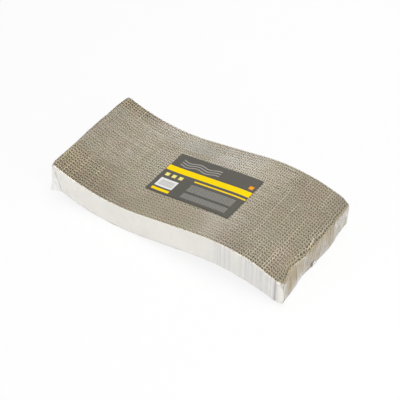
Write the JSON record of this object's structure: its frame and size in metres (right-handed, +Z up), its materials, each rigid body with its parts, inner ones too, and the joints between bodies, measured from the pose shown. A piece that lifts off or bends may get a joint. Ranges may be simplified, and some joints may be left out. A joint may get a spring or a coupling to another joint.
{
  "type": "cardboard cat scratcher",
  "caption": "Wave-shaped cat scratching pad of upright corrugated cardboard strips with white sides, in clear film with a plain sticker.",
  "frame": {"origin": "on the ground under the middle of the part's box", "axes": "+X along the length from the high end to the low end, +Y across to the far long side, +Z up"},
  "size_m": [0.4621, 0.2208, 0.0763],
  "materials": {
    "kraft_board": "matt brown kraft paper, cut edges a little paler",
    "white_paper": "smooth warm white paper, slightly washboarded by the flutes behind it",
    "clear_film": "clear glossy packing film, slightly wrinkled",
    "printed_label": "coated sticker, dark grey with yellow bands and pale plain shapes, half gloss"
  },
  "bodies": {
    "root": {"strip_01": "kraft_board", "strip_02": "kraft_board", "strip_03": "kraft_board", "strip_04": "kraft_board", "strip_05": "kraft_board", "strip_06": "kraft_board", "strip_07": "kraft_board", "strip_08": "kraft_board", "strip_09": "kraft_board", "strip_10": "kraft_board", "strip_11": "kraft_board", "strip_12": "kraft_board", "strip_13": "kraft_board", "strip_14": "kraft_board", "strip_15": "kraft_board", "strip_16": "kraft_board", "strip_17": "kraft_board", "strip_18": "kraft_board", "strip_19": "kraft_board", "strip_20": "kraft_board", "strip_21": "kraft_board", "strip_22": "kraft_board", "strip_23": "kraft_board", "strip_24": "kraft_board", "strip_25": "kraft_board", "strip_26": "kraft_board", "strip_27": "kraft_board", "strip_28": "kraft_board", "strip_29": "kraft_board", "strip_30": "kraft_board", "strip_31": "kraft_board", "strip_32": "kraft_board", "strip_33": "kraft_board", "strip_34": "kraft_board", "strip_35": "kraft_board", "side_sheet_near": "white_paper", "side_sheet_far": "white_paper", "film_wrap": "clear_film", "film_seam": "clear_film", "label": "printed_label"}
  },
  "joints": []
}
